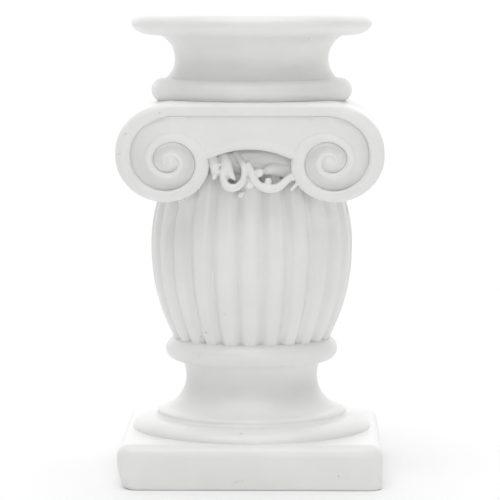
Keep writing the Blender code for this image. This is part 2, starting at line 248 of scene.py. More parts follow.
# Pits, nicks and a mould line: (right of the middle, height, half width, half height, depth)
PITS = (
    (-0.0087, 0.0582, 0.0004, 0.0004, 0.0004), (-0.0152, 0.0514, 0.0005, 0.00036, 0.00045),
    (-0.0168, 0.0494, 0.00055, 0.0005, 0.00045), (0.0208, 0.1251, 0.00036, 0.00036, 0.00035),
    (0.0197, 0.1515, 0.0004, 0.0003, 0.00035), (-0.0417, 0.12, 0.0004, 0.0005, 0.0004),
    (-0.0437, 0.1132, 0.0004, 0.00036, 0.0004), (-0.0302, 0.1271, 0.00036, 0.00036, 0.00035),
    (-0.003, 0.0186, 0.0006, 0.00036, 0.00035), (-0.0046, 0.003, 0.001, 0.00036, 0.00035),
    (-0.0026, 0.0034, 0.0008, 0.0003, 0.0003), (0.03, 0.0051, 0.0005, 0.0004, 0.00035),
    (-0.0176, 0.0424, 0.00026, 0.0026, 0.00028),
)

# A hairline crack down the left of the barrel, as (right of the middle, height)
CRACK = (
    (-0.0244, 0.0949), (-0.0253, 0.0922), (-0.0257, 0.0905), (-0.0269, 0.0884), (-0.0279, 0.0865),
    (-0.0285, 0.0843), (-0.0289, 0.0823),
)
CRACK_HALF_WIDTH = 0.0002
CRACK_SPACING = 0.0005
CRACK_SHARES = (0.0, 0.2, 0.4, 0.6, 0.8)

# How the crumbs lie: tilted by so many radians for each metre under the crown, and squashed
CRUMB_TILT = 1000.0
CRUMB_SHAPE = (1.0, 1.4, 0.7, 1.0)
CRUMB_SPLITS = 2
PIT_SPLITS = 2

# How the scroll is built up and smoothed
SCROLL_SETBACK = 0.0005
SCROLL_LAYER = 0.0009
FRONT_LAYERS = 9
BACK_LAYERS = 3
BACK_SETBACK = 0.0014
BAND_THICKNESS = 0.0012
BAND_SPACING = 0.0004
BAND_SIDES = 14
SCROLL_VOXEL = 0.00027
KNOB_SPLITS = 3
SOFTEN_FACTOR = 0.5
SOFTEN_TIMES = 4
FACES_KEPT = 0.42

# Ground behind the back scroll
PANEL_SETBACK = 0.0030
PANEL_WIDTH = 0.0470
PANEL_DROP = 0.0178
PANEL_CURVE_STEPS = 48

# Where two faces meet more sharply than this, in degrees, the edge stays crisp
CRISP_ANGLE = 38.0

# Where the rays start that look for the surface from the front
RAY_START = -1.0

# Coating: noises as (scale, detail, roughness) and bumps as (strength, distance)
DARKER_WHITE = (0.805, 0.805, 0.797, 1.0)
LIGHTER_WHITE = (0.845, 0.845, 0.839, 1.0)
NOISE_RANGE = (0.3, 0.7)
CLOUD_NOISE = (60.0, 4.0, 0.55)
SHEEN_NOISE = (180.0, 3.0, 0.5)
SHEEN_RANGE = (0.30, 0.40)
UNEVEN_NOISE = (140.0, 2.0, 0.45)
UNEVEN_BUMP = (0.35, 0.0004)
GRAIN_NOISE = (2600.0, 2.0, 0.5)
GRAIN_BUMP = (0.12, 0.00006)

# Floor that fills the picture
FLOOR_HALF = 60.0
FLOOR_COLOUR = (0.90, 0.90, 0.90, 1.0)
FLOOR_ROUGHNESS = 0.9
FLOOR_SHINE = 0.1

# Camera: distance, azimuth, height, the point on the axis that it looks at, and lens
CAMERA_DISTANCE = 1.026
CAMERA_AZIMUTH = 1.0
CAMERA_HEIGHT = 0.1786
CAMERA_AIM = (-0.0006, 0.0, 0.0772)
CAMERA_LENS = 212.2
CAMERA_SENSOR = 36.0
CAMERA_CLIP = (0.01, 100.0)

# Studio light: the surround's strengths, then each lamp's direction, strength and spread in degrees
SURROUND_IN_FRONT = 0.02
SURROUND_BEHIND = 1.55
SURROUND_FALL = 2.6
SURROUND_OVERHEAD = 0.15
LAMPS = {
    "low front light": ((0.12, -1.0, 0.33), 0.38, 20.0),
    "high front light": ((-0.30, -0.85, 1.35), 0.55, 45.0),
    "light from the right": ((1.0, -0.65, 0.12), 0.30, 25.0),
    "light from the left": ((-1.0, -0.25, 0.35), 0.16, 40.0),
    "light from above": ((0.0, -0.10, 1.0), 1.35, 60.0),
}

# Levels
pillar_top = cad_high.z
plinth_half = cad_high.y
step_foot = PLINTH_HEIGHT + DISC_HEIGHT
bell_foot = step_foot + STEP_HEIGHT
bell_top = bell_foot + BELL_HEIGHT
ring_top = bell_top + LOWER_RING_THICKNESS
belly_level = ring_top + BARREL_BELLY_HEIGHT
arch_crown = ring_top + BARREL_HEIGHT
barrel_top = arch_crown + BARREL_TENON
capital_top = arch_crown + SLAB_HEIGHT
eye_level = capital_top - VOLUTE_RADIUS
upper_ring_foot = capital_top - UPPER_RING_SINK
neck_foot = upper_ring_foot + UPPER_RING_THICKNESS
neck_top = neck_foot + NECK_HEIGHT
capital_front = CAPITAL_DEPTH / 2


def new_object(name, data):
    thing = bpy.data.objects.new(name, data)
    bpy.context.scene.collection.objects.link(thing)
    return thing


def mesh_from(name, corners, faces):
    """A mesh whose doubled corners are merged and whose faces point outwards."""
    mesh = bpy.data.meshes.new(name)
    mesh.from_pydata([tuple(corner) for corner in corners], [], faces)
    bm = bmesh.new()
    bm.from_mesh(mesh)
    bmesh.ops.remove_doubles(bm, verts=bm.verts, dist=2e-6)
    bmesh.ops.dissolve_degenerate(bm, edges=bm.edges, dist=1e-7)
    bmesh.ops.recalc_face_normals(bm, faces=bm.faces)
    bm.to_mesh(mesh)
    bm.free()
    return mesh


def object_from(name, bm):
    """A new object with the shape that was built in bm. Bm itself goes."""
    mesh = bpy.data.meshes.new(name)
    bm.to_mesh(mesh)
    bm.free()
    return new_object(name, mesh)


def evaluated(thing, name):
    """The shape of thing with its modifiers, as a plain mesh on a new object. Thing itself goes."""
    bpy.context.view_layer.update()
    depsgraph = bpy.context.evaluated_depsgraph_get()
    mesh = bpy.data.meshes.new_from_object(thing.evaluated_get(depsgraph))
    bpy.data.objects.remove(thing, do_unlink=True)
    mesh.name = name
    return new_object(name, mesh)


def arc(centre, reach, start, end, steps):
    """Points on an ellipse round centre, from start to end in degrees; 0 is +X and 90 is up."""
    points = []
    for step in range(steps + 1):
        angle = math.radians(start + (end - start) * step / steps)
        points.append((centre[0] + reach[0] * math.cos(angle), centre[1] + reach[1] * math.sin(angle)))
    return points


def hollow(waist_radius, waist_level, bend, top, foot, steps):
    """A hollow neck in profile, top to foot: a circle's arc whose deepest point is the waist."""
    slopes = [max(-1.0, min(1.0, (level - waist_level) / bend)) for level in (top, foot)]
    start, end = [math.degrees(math.asin(slope)) for slope in slopes]
    return arc((waist_radius + bend, waist_level), (-bend, bend), start, end, steps)


def turned(name, profile):
    """A turned solid from (radius, level) points that start and end on the axis."""
    angles = np.arange(TURN_COLUMNS) * math.tau / TURN_COLUMNS
    corners = []
    for radius, level in profile[1:-1]:
        corners += [(radius * math.cos(a), radius * math.sin(a), level) for a in angles]
    top = len(corners)
    corners += [(0.0, 0.0, profile[0][1]), (0.0, 0.0, profile[-1][1])]
    faces = []
    rings = len(profile) - 2
    for column in range(TURN_COLUMNS):
        following = (column + 1) % TURN_COLUMNS
        faces.append((top, column, following))
        for ring in range(rings - 1):
            here = ring * TURN_COLUMNS
            below = here + TURN_COLUMNS
            faces.append((here + column, below + column, below + following, here + following))
        last = (rings - 1) * TURN_COLUMNS
        faces.append((top + 1, last + following, last + column))
    return new_object(name, mesh_from(name, corners, faces))


def make_crown():
    """Upper ring, neck and top disc, turned in one."""
    half_ring = UPPER_RING_THICKNESS / 2
    ring_level = upper_ring_foot + half_ring
    widest = pillar_top - TOP_UPPER_EDGE
    lower_edge = widest - neck_top
    neck = hollow(NECK_WAIST_RADIUS, neck_foot + NECK_WAIST_HEIGHT, NECK_HOLLOW, neck_top, neck_foot, 18)
    profile = [(0.0, pillar_top)]
    profile += arc((TOP_RADIUS - TOP_UPPER_REACH, widest), (TOP_UPPER_REACH, TOP_UPPER_EDGE), 90, 0, 12)
    profile += arc((TOP_RADIUS - TOP_LOWER_REACH, widest), (TOP_LOWER_REACH, lower_edge), -8, -82, 10)
    profile += neck
    profile += arc((UPPER_RING_RADIUS - half_ring, ring_level), (half_ring, half_ring), 82, -90, 16)
    profile.append((0.0, upper_ring_foot))
    return turned("crown", profile)


def make_foot():
    """Lower ring, bell, step and low disc, turned in one."""
    half_ring = LOWER_RING_THICKNESS / 2
    ring_level = ring_top - half_ring
    waist_level = bell_foot + BELL_WAIST_HEIGHT
    profile = [(0.0, ring_top)]
    profile += arc((LOWER_RING_RADIUS - half_ring, ring_level), (half_ring, half_ring), 90, -82, 16)
    profile += hollow(BELL_WAIST_RADIUS, waist_level, BELL_HOLLOW, bell_top, bell_foot, 20)[:-1]
    profile.append((BELL_FOOT_RADIUS, bell_foot))
    edge = (STEP_RADIUS - STEP_ROUND, bell_foot - STEP_CHAMFER)
    profile += arc(edge, (STEP_ROUND, STEP_CHAMFER), 70, 0, 8)
    fillet = STEP_HEIGHT - STEP_CHAMFER
    profile += arc((STEP_RADIUS + fillet, step_foot + fillet), (fillet, fillet), 180, 262, 8)
    profile += arc((DISC_RADIUS - DISC_ROUND, PLINTH_HEIGHT), (DISC_ROUND, DISC_HEIGHT), 90, 0, 14)
    profile.append((DISC_RADIUS, PLINTH_HEIGHT - SINK))
    profile.append((0.0, PLINTH_HEIGHT - SINK))
    return turned("foot", profile)


def make_plinth():
    """A square slab with soft edges, a little tucked in at the foot of its left side."""
    bm = bmesh.new()
    bmesh.ops.create_cube(bm, size=1.0)
    bmesh.ops.scale(bm, vec=(plinth_half * 2, plinth_half * 2, PLINTH_HEIGHT), verts=bm.verts)
    bmesh.ops.translate(bm, vec=(0.0, 0.0, PLINTH_HEIGHT / 2), verts=bm.verts)

    def bevel(width, segments, chosen):
        edges = [edge for edge in bm.edges if chosen(sorted(corner.co.z for corner in edge.verts))]
        bmesh.ops.bevel(bm, geom=edges, offset=width, segments=segments, profile=0.5, affect="EDGES")

    middle = PLINTH_HEIGHT / 2
    bevel(PLINTH_CORNER, SOFT_EDGE_STEPS, lambda levels: levels[0] < middle < levels[1])
    bevel(PLINTH_TOP_EDGE, SOFT_EDGE_STEPS, lambda levels: levels[0] > middle)
    bevel(PLINTH_FOOT_EDGE, FOOT_EDGE_STEPS, lambda levels: levels[1] < middle)
    for share in TUCK_ROWS:
        geometry = bm.verts[:] + bm.edges[:] + bm.faces[:]
        level = (0.0, 0.0, TUCK_HEIGHT * share)
        bmesh.ops.bisect_plane(bm, geom=geometry, plane_co=level, plane_no=(0.0, 0.0, 1.0))
    for corner in bm.verts:
        if corner.co.x < 0.0 and corner.co.z < TUCK_HEIGHT:
            backward = (corner.co.y + plinth_half) / (2 * plinth_half)
            weight = 1.0 - (1.0 - TUCK_AT_BACK) * backward
            tuck = TUCK_DEPTH * weight * (1.0 - corner.co.z / TUCK_HEIGHT) ** 2
            corner.co.x += tuck * -corner.co.x / plinth_half
    return object_from("plinth", bm)


class Tree:
    """A Geometry Nodes tree, with named inputs and short words for the nodes that it needs."""

    def __init__(self, name):
        self.group = bpy.data.node_groups.new(name, "GeometryNodeTree")
        self.group.interface.new_socket("Geometry", in_out="OUTPUT", socket_type="NodeSocketGeometry")
        self.source = self.group.nodes.new("NodeGroupInput")
        self.identifiers = {}

    def value(self, name, kind="NodeSocketFloat"):
        socket = self.group.interface.new_socket(name, in_out="INPUT", socket_type=kind)
        self.identifiers[name] = socket.identifier
        return self.source.outputs[name]

    def node(self, kind, settings=None, **inputs):
        made = self.group.nodes.new(kind)
        for setting, chosen in (settings or {}).items():
            setattr(made, setting, chosen)
        for name, given in inputs.items():
            self.connect(given, made.inputs[name.replace("_", " ")])
        return made

    def connect(self, given, socket):
        if isinstance(given, bpy.types.NodeSocket):
            self.group.links.new(given, socket)
        else:
            socket.default_value = given

    def math(self, operation, *values, clamp=False):
        made = self.group.nodes.new("ShaderNodeMath")
        made.operation = operation
        made.use_clamp = clamp
        for given, socket in zip(values, made.inputs):
            self.connect(given, socket)
        return made.outputs["Value"]

    def finish(self, geometry, material):
        """Ends the tree with Realize Instances and Set Material."""
        real = self.node("GeometryNodeRealizeInstances", Geometry=geometry)
        coated = self.node("GeometryNodeSetMaterial", Geometry=real.outputs["Geometry"], Material=material)
        end = self.group.nodes.new("NodeGroupOutput")
        self.group.links.new(coated.outputs["Geometry"], end.inputs["Geometry"])
        return self

    def grow(self, thing, name, values):
        """Runs the tree on thing with these values and returns the result as a plain mesh object."""
        modifier = thing.modifiers.new(self.group.name, "NODES")
        modifier.node_group = self.group
        for label, given in values.items():
            modifier[self.identifiers[label]] = given
        return evaluated(thing, name)


def barrel_tree():
    """A cylinder bent to the barrel's swelling and pressed into reeds."""
    tree = Tree("reeded barrel")
    reeds = tree.value("Reeds")
    depth = tree.value("Reed Depth")
    foot_depth = tree.value("Reed Depth At Foot")
    reed_power = tree.value("Reed Power")
    foot_level = tree.value("Foot Level")
    ring_level = tree.value("Ring Level")
    belly = tree.value("Belly Level")
    top_level = tree.value("Top Level")
    foot_radius = tree.value("Foot Radius")
    belly_radius = tree.value("Belly Radius")
    head_radius = tree.value("Head Radius")
    swell = tree.value("Swell Power")
    columns = tree.value("Columns", "NodeSocketInt")
    rows = tree.value("Rows", "NodeSocketInt")
    material = tree.value("Material", "NodeSocketMaterial")
    cylinder = tree.node(
        "GeometryNodeMeshCylinder", {"fill_type": "NGON"},
        Vertices=columns, Side_Segments=rows, Radius=1.0, Depth=1.0,
    )
    place = tree.node("GeometryNodeInputPosition")
    parts = tree.node("ShaderNodeSeparateXYZ", Vector=place.outputs["Position"])
    x, y, z = parts.outputs
    share = tree.math("ADD", z, 0.5)
    level = tree.math("MULTIPLY_ADD", share, tree.math("SUBTRACT", top_level, foot_level), foot_level)
    rise = tree.math("SUBTRACT", level, belly)
    belly_height = tree.math("SUBTRACT", belly, ring_level)
    below = tree.math("DIVIDE", tree.math("MULTIPLY", rise, -1.0), belly_height, clamp=True)
    above = tree.math("DIVIDE", rise, tree.math("SUBTRACT", top_level, belly), clamp=True)
    draw_in = tree.math("SUBTRACT", foot_radius, belly_radius)
    lower = tree.math("MULTIPLY_ADD", tree.math("POWER", below, swell), draw_in, belly_radius)
    rest = tree.math("SUBTRACT", 1.0, tree.math("MULTIPLY", above, above))
    fuller = tree.math("SUBTRACT", belly_radius, head_radius)
    upper = tree.math("MULTIPLY_ADD", tree.math("MULTIPLY", rest, rest), fuller, head_radius)
    crest = tree.math("SUBTRACT", tree.math("ADD", lower, upper), belly_radius)
    turn = tree.math("MULTIPLY", tree.math("DIVIDE", tree.math("ARCTAN2", y, x), math.tau), reeds)
    aside = tree.math("ABSOLUTE", tree.math("SUBTRACT", turn, tree.math("ROUND", turn)))
    wave = tree.math("MULTIPLY_ADD", tree.math("COSINE", tree.math("MULTIPLY", aside, math.tau)), -0.5, 0.5)
    fall = tree.math("POWER", wave, reed_power)
    deeper = tree.math("SUBTRACT", foot_depth, depth)
    valley = tree.math("MULTIPLY_ADD", tree.math("POWER", below, DEEPENING_POWER), deeper, depth)
    radius = tree.math("SUBTRACT", crest, tree.math("MULTIPLY", fall, valley))
    moved = tree.node(
        "ShaderNodeCombineXYZ",
        X=tree.math("MULTIPLY", x, radius), Y=tree.math("MULTIPLY", y, radius), Z=level,
    )
    shaped = tree.node(
        "GeometryNodeSetPosition", Geometry=cylinder.outputs["Mesh"], Position=moved.outputs["Vector"],
    )
    return tree.finish(shaped.outputs["Geometry"], material)


def make_barrel(material):
    empty = new_object("barrel seed", bpy.data.meshes.new("barrel seed"))
    return barrel_tree().grow(empty, "barrel", {
        "Reeds": float(REED_COUNT), "Reed Depth": REED_DEPTH, "Reed Depth At Foot": REED_DEPTH_AT_FOOT,
        "Reed Power": REED_POWER, "Foot Level": ring_top - SINK, "Ring Level": ring_top,
        "Belly Level": belly_level, "Top Level": barrel_top, "Foot Radius": BARREL_FOOT_RADIUS,
        "Belly Radius": BARREL_BELLY_RADIUS, "Head Radius": BARREL_HEAD_RADIUS, "Swell Power": SWELL_POWER,
        "Columns": BARREL_COLUMNS, "Rows": BARREL_ROWS, "Material": material,
    })


def along(table, turn):
    """A smooth curve through (turn, value) pairs, level beyond its ends."""
    if turn <= table[0][0]:
        return table[0][1]
    if turn >= table[-1][0]:
        return table[-1][1]
    index = max(place for place, entry in enumerate(table[:-1]) if entry[0] <= turn)

    def slope(place):
        before = table[max(place - 1, 0)]
        after = table[min(place + 1, len(table) - 1)]
        return (after[1] - before[1]) / (after[0] - before[0])

    (start, first), (end, second) = table[index], table[index + 1]
    span = end - start
    share = (turn - start) / span
    bend = share * share * (3.0 - 2.0 * share)
    lead = span * share * (1.0 - share)
    lean = (1.0 - share) * slope(index) - share * slope(index + 1)
    return first + (second - first) * bend + lead * lean


def volute_radius(turn):
    """From the eye to the outer edge of the rim, after so many turns from straight up."""
    fullness = 1.0
    if turn < SHOULDER_TURN:
        fullness += VOLUTE_SHOULDER * math.sin(math.pi * turn / SHOULDER_TURN) ** 2
    return along(RADII, turn) * fullness


def volute_place(turn, radius):
    angle = turn * math.tau
    return EYE_OFFSET + VOLUTE_WIDEN * radius * math.sin(angle), eye_level + radius * math.cos(angle)


def rim_share(turn):
    band = RIM_WIDTH / (volute_radius(0.0) - volute_radius(1.0))
    return along(((0.0, band),) + RIM_SHARES, turn)


def bead(share, turn, outer, inner):
    """Depth under the face across a rounded rim, from its outer edge at 0 to its inner edge at 1."""
    shoulder = along(OUTER_ROUNDS, turn)
    brow = along(INNER_ROUNDS, turn)
    if share < shoulder:
        return outer * (1.0 - math.sqrt(max(0.0, 1.0 - (1.0 - share / shoulder) ** 2)))
    if share > brow:
        return inner * (1.0 - math.sqrt(max(0.0, 1.0 - ((share - brow) / (1.0 - brow)) ** 2)))
    return 0.0


def rim_rows(turn):
    """Shares across the rim, close together where its sides are steep."""
    shoulder = along(OUTER_ROUNDS, turn)
    brow = along(INNER_ROUNDS, turn)
    quarter = math.pi / 2
    rows = []
    for step in range(SHOULDER_ROWS + 1):
        rows.append(shoulder * (1.0 - math.cos(quarter * step / SHOULDER_ROWS)))
    for step in range(1, CREST_ROWS + 1):
        rows.append(shoulder + (brow - shoulder) * step / CREST_ROWS)
    for step in range(1, BROW_ROWS + 1):
        rows.append(brow + (1.0 - brow) * math.sin(quarter * step / BROW_ROWS))
    return rows


arch_turn = ARCH_STEP / STEPS_A_TURN
spring_x, spring_z = volute_place(arch_turn, volute_radius(arch_turn))


def arch_level(x):
    return arch_crown - (arch_crown - spring_z) * (x / spring_x) ** 2


def panel_depth(x, z):
    """Depth under the face in the middle: a flat panel with a rounded rim over the arch."""
    over = (z - arch_level(x)) / ARCH_RIM_WIDTH
    if over >= 1.0:
        return PANEL_DEPTH
    if over > ARCH_CREST_SHARE:
        slope = 0.5 - 0.5 * math.cos(math.pi * (over - ARCH_CREST_SHARE) / (1.0 - ARCH_CREST_SHARE))
        return ARCH_RIM_CREST + (PANEL_DEPTH - ARCH_RIM_CREST) * slope
    round_side = 1.0 - math.sqrt(max(0.0, 1.0 - (1.0 - max(over, 0.0) / ARCH_CREST_SHARE) ** 2))
    return ARCH_RIM_CREST + (EDGE_DROP - ARCH_RIM_CREST) * round_side


def edge_depth(turn):
    """Depth under the face along the rim's outer edge."""
    if turn <= arch_turn + 1e-9:
        return EDGE_DROP
    if turn < 1.0:
        return panel_depth(*volute_place(turn, volute_radius(turn)))
    return along(FLOOR_DEPTHS, turn - 1.0) * along(RISE_SHARES, turn - 1.0)


def crease(turn):
    """How much deeper the face is cut right under the rim, less and less towards the eye."""
    return CREASE_DEPTH * min(max((CREASE_END_TURN - turn) / CREASE_FADE_TURN, 0.0), 1.0)


def rim_rises():
    """Shares of the way up the arch's rim, from its top down to its foot."""
    return [0.5 + 0.5 * math.cos(math.pi * step / RIM_STEPS) for step in range(1, RIM_STEPS + 1)]


def panel_shares():
    """Shares of the way down the face under its band, close together over the arch's rim."""
    spread = (1.0 - LEAST_RIM - CREASE_SHARE) / (PANEL_STEPS - 1)
    shares = [CREASE_SHARE + spread * step for step in range(PANEL_STEPS)]
    return shares + [1.0 - LEAST_RIM * rise for rise in rim_rises()]


def middle_column(x, foot):
    """One upright column of the face between the volutes, from the top edge down to foot."""
    column = []
    for share in rim_rows(0.0):
        depth = bead(share, 0.0, EDGE_DROP, PANEL_DEPTH + crease(0.0))
        column.append((x, depth, capital_top - share * RIM_WIDTH))
    band_foot = capital_top - RIM_WIDTH
    rim_top = max(arch_level(x) + ARCH_RIM_WIDTH, foot + (band_foot - foot) * LEAST_RIM)
    levels = []
    for share in panel_shares()[:PANEL_STEPS]:
        levels.append(band_foot + (rim_top - band_foot) * share / (1.0 - LEAST_RIM))
    levels += [foot + (rim_top - foot) * rise for rise in rim_rises()]
    return column + [(x, panel_depth(x, z), z) for z in levels]


def volute_column(turn):
    """One column of the volute, from the rim's outer edge in to the next turn's outer edge."""
    outer = volute_radius(turn)
    inner = volute_radius(turn + 1.0)
    rim = rim_share(turn)
    floor = along(FLOOR_DEPTHS, turn)
    sag = CHANNEL_SAG * min(turn / SAG_TURN, 1.0) * floor / CHANNEL_DEPTH
    column = []
    for share in rim_rows(turn):
        x, z = volute_place(turn, outer + (inner - outer) * share * rim)
        column.append((x, bead(share, turn, edge_depth(turn), floor + crease(turn)), z))
    evenness = min(turn / EVEN_TURN, 1.0)
    for step, first in enumerate(panel_shares(), 1):
        share = first + (step / (PANEL_STEPS + RIM_STEPS) - first) * evenness
        x, z = volute_place(turn, outer + (inner - outer) * (rim + (1.0 - rim) * share))
        depth = floor + (edge_depth(turn + 1.0) - floor) * share + sag * 4 * share * (1.0 - share)
        column.append((x, depth, z))
    return column


def eye_cap(columns):
    """The knob that closes the innermost turn: rings that shrink towards its middle."""
    border = [column[-1] for column in columns[LAST_STEP - STEPS_A_TURN:]]
    border += columns[LAST_STEP][-2:0:-1]
    aim = LAST_STEP / STEPS_A_TURN + EYE_AHEAD_TURN
    middle_x, middle_z = volute_place(aim, volute_radius(EYE_MIDDLE_TURN))
    rings = [border]
    for share in EYE_RINGS:
        dome = EYE_DOME * (1.0 - share * share)
        rings.append([
            (middle_x + (x - middle_x) * share, depth * share - dome, middle_z + (z - middle_z) * share)
            for x, depth, z in border
        ])
    return rings, (middle_x, -EYE_DOME, middle_z)


def half_face():
    """The right half of the face, as corners (x, depth, z) and faces, and its outer edge."""
    corners = []
    faces = []

    def add_grid(columns):
        start = len(corners)
        rows = len(columns[0])
        for column in columns:
            corners.extend(column)
        for index in range(len(columns) - 1):
            for row in range(rows - 1):
                here = start + index * rows + row
                faces.append((here, here + 1, here + rows + 1, here + rows))

    arch = []
    for index in range(ARCH_COLUMNS + 1):
        x = spring_x * index / ARCH_COLUMNS
        arch.append(middle_column(x, arch_level(x)))
    inner = []
    for step in range(ARCH_STEP, STEPS_A_TURN + 1):
        turn = step / STEPS_A_TURN
        x, z = volute_place(turn, volute_radius(turn))
        inner.append(middle_column(x, z))
    add_grid(arch)
    add_grid(inner)
    volute = [volute_column(step / STEPS_A_TURN) for step in range(LAST_STEP + 1)]
    add_grid(volute)
    rings, middle = eye_cap(volute)
    count = len(rings[0])
    start = len(corners)
    for ring in rings:
        corners.extend(ring)
    corners.append(middle)
    for ring in range(len(rings) - 1):
        for index in range(count):
            following = (index + 1) % count
            here = start + ring * count
            faces.append((here + index, here + following, here + count + following, here + count + index))
    last = start + (len(rings) - 1) * count
    for index in range(count):
        faces.append((last + index, last + (index + 1) % count, len(corners) - 1))
    edge = [column[0] for column in arch + inner[1:]]
    edge += [column[0] for column in volute[1:ARCH_STEP + 1]]
    edge += [column[-1] for column in arch[-2::-1]]
    return corners, faces, edge


def side_wall(edge):
    """The wall from the front face to the back face along the outer edge, a little full at the sides."""
    start = -capital_front + EDGE_DROP
    reach = 2 * -start
    corners = []
    for index, (x, depth, z) in enumerate(edge):
        before = edge[max(index - 1, 0)]
        after = edge[min(index + 1, len(edge) - 1)]
        way = Vector((after[0] - before[0], after[2] - before[2])).normalized()
        turn = (index - (len(edge) - ARCH_STEP - ARCH_COLUMNS - 1)) / STEPS_A_TURN
        growing = min(max(turn / BULGE_FADE_TURN, 0.0), 1.0)
        fading = min(max((arch_turn - turn) / BULGE_FADE_TURN, 0.0), 1.0)
        full = SIDE_BULGE * growing * fading
        for row in range(WALL_ROWS + 1):
            share = row / WALL_ROWS
            bulge = full * math.sin(math.pi * share)
            corners.append((x - way.y * bulge, start + reach * share, z + way.x * bulge))
    rows = WALL_ROWS + 1
    faces = []
    for index in range(len(edge) - 1):
        for row in range(WALL_ROWS):
            here = index * rows + row
            faces.append((here, here + rows, here + rows + 1, here + 1))
    return corners, faces


def make_capital():
    """Slab and volutes: two faces and the wall between them, built as a right half and mirrored."""
    face_corners, face_faces, edge = half_face()
    wall_corners, wall_faces = side_wall(edge)
    half_corners = []
    half_faces = []

    def add(corners, faces):
        start = len(half_corners)
        half_corners.extend(corners)
        half_faces.extend([tuple(start + index for index in face) for face in faces])

    add([(x, -capital_front + depth, z) for x, depth, z in face_corners], face_faces)
    add([(x, capital_front - depth, z) for x, depth, z in face_corners], face_faces)
    add(wall_corners, wall_faces)
    corners = half_corners + [(-x, y, z) for x, y, z in half_corners]
    shift = len(half_corners)
    faces = half_faces + [tuple(shift + index for index in face) for face in half_faces]
    return new_object("capital", mesh_from("capital", corners, faces))


def band_tree():
    """Sweeps a round section along smooth lines, again and again, one layer behind the other."""
    tree = Tree("leaf bands")
    geometry = tree.value("Geometry", "NodeSocketGeometry")
    layers = tree.value("Layers", "NodeSocketInt")
    gap = tree.value("Layer Gap")
    spacing = tree.value("Spacing")
    material = tree.value("Material", "NodeSocketMaterial")
    smooth = tree.node("GeometryNodeCurveSplineType", {"spline_type": "CATMULL_ROM"}, Curve=geometry)
    even = tree.node(
        "GeometryNodeResampleCurve", {"mode": "LENGTH"}, Curve=smooth.outputs["Curve"], Length=spacing,
    )
    section = tree.node("GeometryNodeCurvePrimitiveCircle", Resolution=BAND_SIDES, Radius=1.0)
    half_width = tree.node("GeometryNodeInputRadius")
    swept = tree.node(
        "GeometryNodeCurveToMesh",
        Curve=even.outputs["Curve"], Profile_Curve=section.outputs["Curve"],
        Scale=half_width.outputs["Radius"], Fill_Caps=True,
    )
    whole = tree.node("GeometryNodeGeometryToInstance", Geometry=swept.outputs["Mesh"])
    copies = tree.node(
        "GeometryNodeDuplicateElements", {"domain": "INSTANCE"},
        Geometry=whole.outputs["Instances"], Amount=layers,
    )
    back = tree.math("MULTIPLY", copies.outputs["Duplicate Index"], tree.math("MULTIPLY", gap, -1.0))
    offset = tree.node("ShaderNodeCombineXYZ", X=0.0, Y=0.0, Z=back)
    placed = tree.node(
        "GeometryNodeTranslateInstances",
        Instances=copies.outputs["Geometry"], Translation=offset.outputs["Vector"],
    )
    return tree.finish(placed.outputs["Instances"], material)


def band_lines(name, bands, extra_setback):
    """Bands drawn flat: x to the right, y up from the arch's crown, z out of the face."""
    curve = bpy.data.curves.new(name, "CURVE")
    curve.dimensions = "3D"
    for points in bands:
        spline = curve.splines.new("POLY")
        spline.points.add(len(points) - 1)
        for corner, (x, drop, half_width, setback) in zip(spline.points, points):
            corner.co = (x, -drop, -extra_setback - setback - min(half_width, BAND_THICKNESS), 1.0)
            corner.radius = half_width
    return new_object(name, curve)


def make_scroll(name, bands, extra_setback, knobs, layers, turn, tree, material):
    """Bands and knobs melted into one openwork scroll that stands out from the barrel."""
    values = {"Layers": layers, "Layer Gap": SCROLL_LAYER, "Spacing": BAND_SPACING, "Material": material}
    scroll = tree.grow(band_lines(name, bands, extra_setback), name, values)
    bm = bmesh.new()
    bm.from_mesh(scroll.data)
    for x, drop, setback, radius in knobs:
        for layer in range(layers):
            place = Matrix.Translation((x, -drop, -setback - radius - layer * SCROLL_LAYER))
            bmesh.ops.create_icosphere(bm, subdivisions=KNOB_SPLITS, radius=radius, matrix=place)
    bm.to_mesh(scroll.data)
    bm.free()
    stand_up = Matrix.Translation((0.0, -capital_front + SCROLL_SETBACK, arch_crown))
    stand_up = stand_up @ Matrix.Rotation(math.pi / 2, 4, "X")
    scroll.data.transform(Matrix.Rotation(turn, 4, "Z") @ stand_up)
    melt = scroll.modifiers.new("melt together", "REMESH")
    melt.mode = "VOXEL"
    melt.voxel_size = SCROLL_VOXEL
    soften = scroll.modifiers.new("soften", "SMOOTH")
    soften.factor = SOFTEN_FACTOR
    soften.iterations = SOFTEN_TIMES
    thin = scroll.modifiers.new("fewer faces", "DECIMATE")
    thin.ratio = FACES_KEPT
    return evaluated(scroll, name)


def make_back_panel():
    """The plain ground behind the back scroll, from the middle of the barrel out to the back arch."""
    half = arc((0.0, arch_crown), (PANEL_WIDTH / 2, PANEL_DROP), 0, -180, PANEL_CURVE_STEPS)
    outline = [(x, z + SINK) for x, z in (half[-1], half[0])] + half
    face = capital_front - PANEL_SETBACK
    bm = bmesh.new()
    front = bm.faces.new([bm.verts.new((x, face, z)) for x, z in outline])
    pushed = bmesh.ops.extrude_face_region(bm, geom=[front])
    moved = [item for item in pushed["geom"] if isinstance(item, bmesh.types.BMVert)]
    bmesh.ops.translate(bm, vec=(0.0, -face, 0.0), verts=moved)
    bmesh.ops.recalc_face_normals(bm, faces=bm.faces)
    return object_from("back panel", bm)


def melt_together(name, parts):
    """One closed skin round all the parts."""
    whole = parts[0]
    for part in parts[1:]:
        union = whole.modifiers.new(f"with {part.name}", "BOOLEAN")
        union.operation = "UNION"
        union.solver = "EXACT"
        union.object = part
    casting = evaluated(whole, name)
    for part in parts[1:]:
        bpy.data.objects.remove(part, do_unlink=True)
    return casting


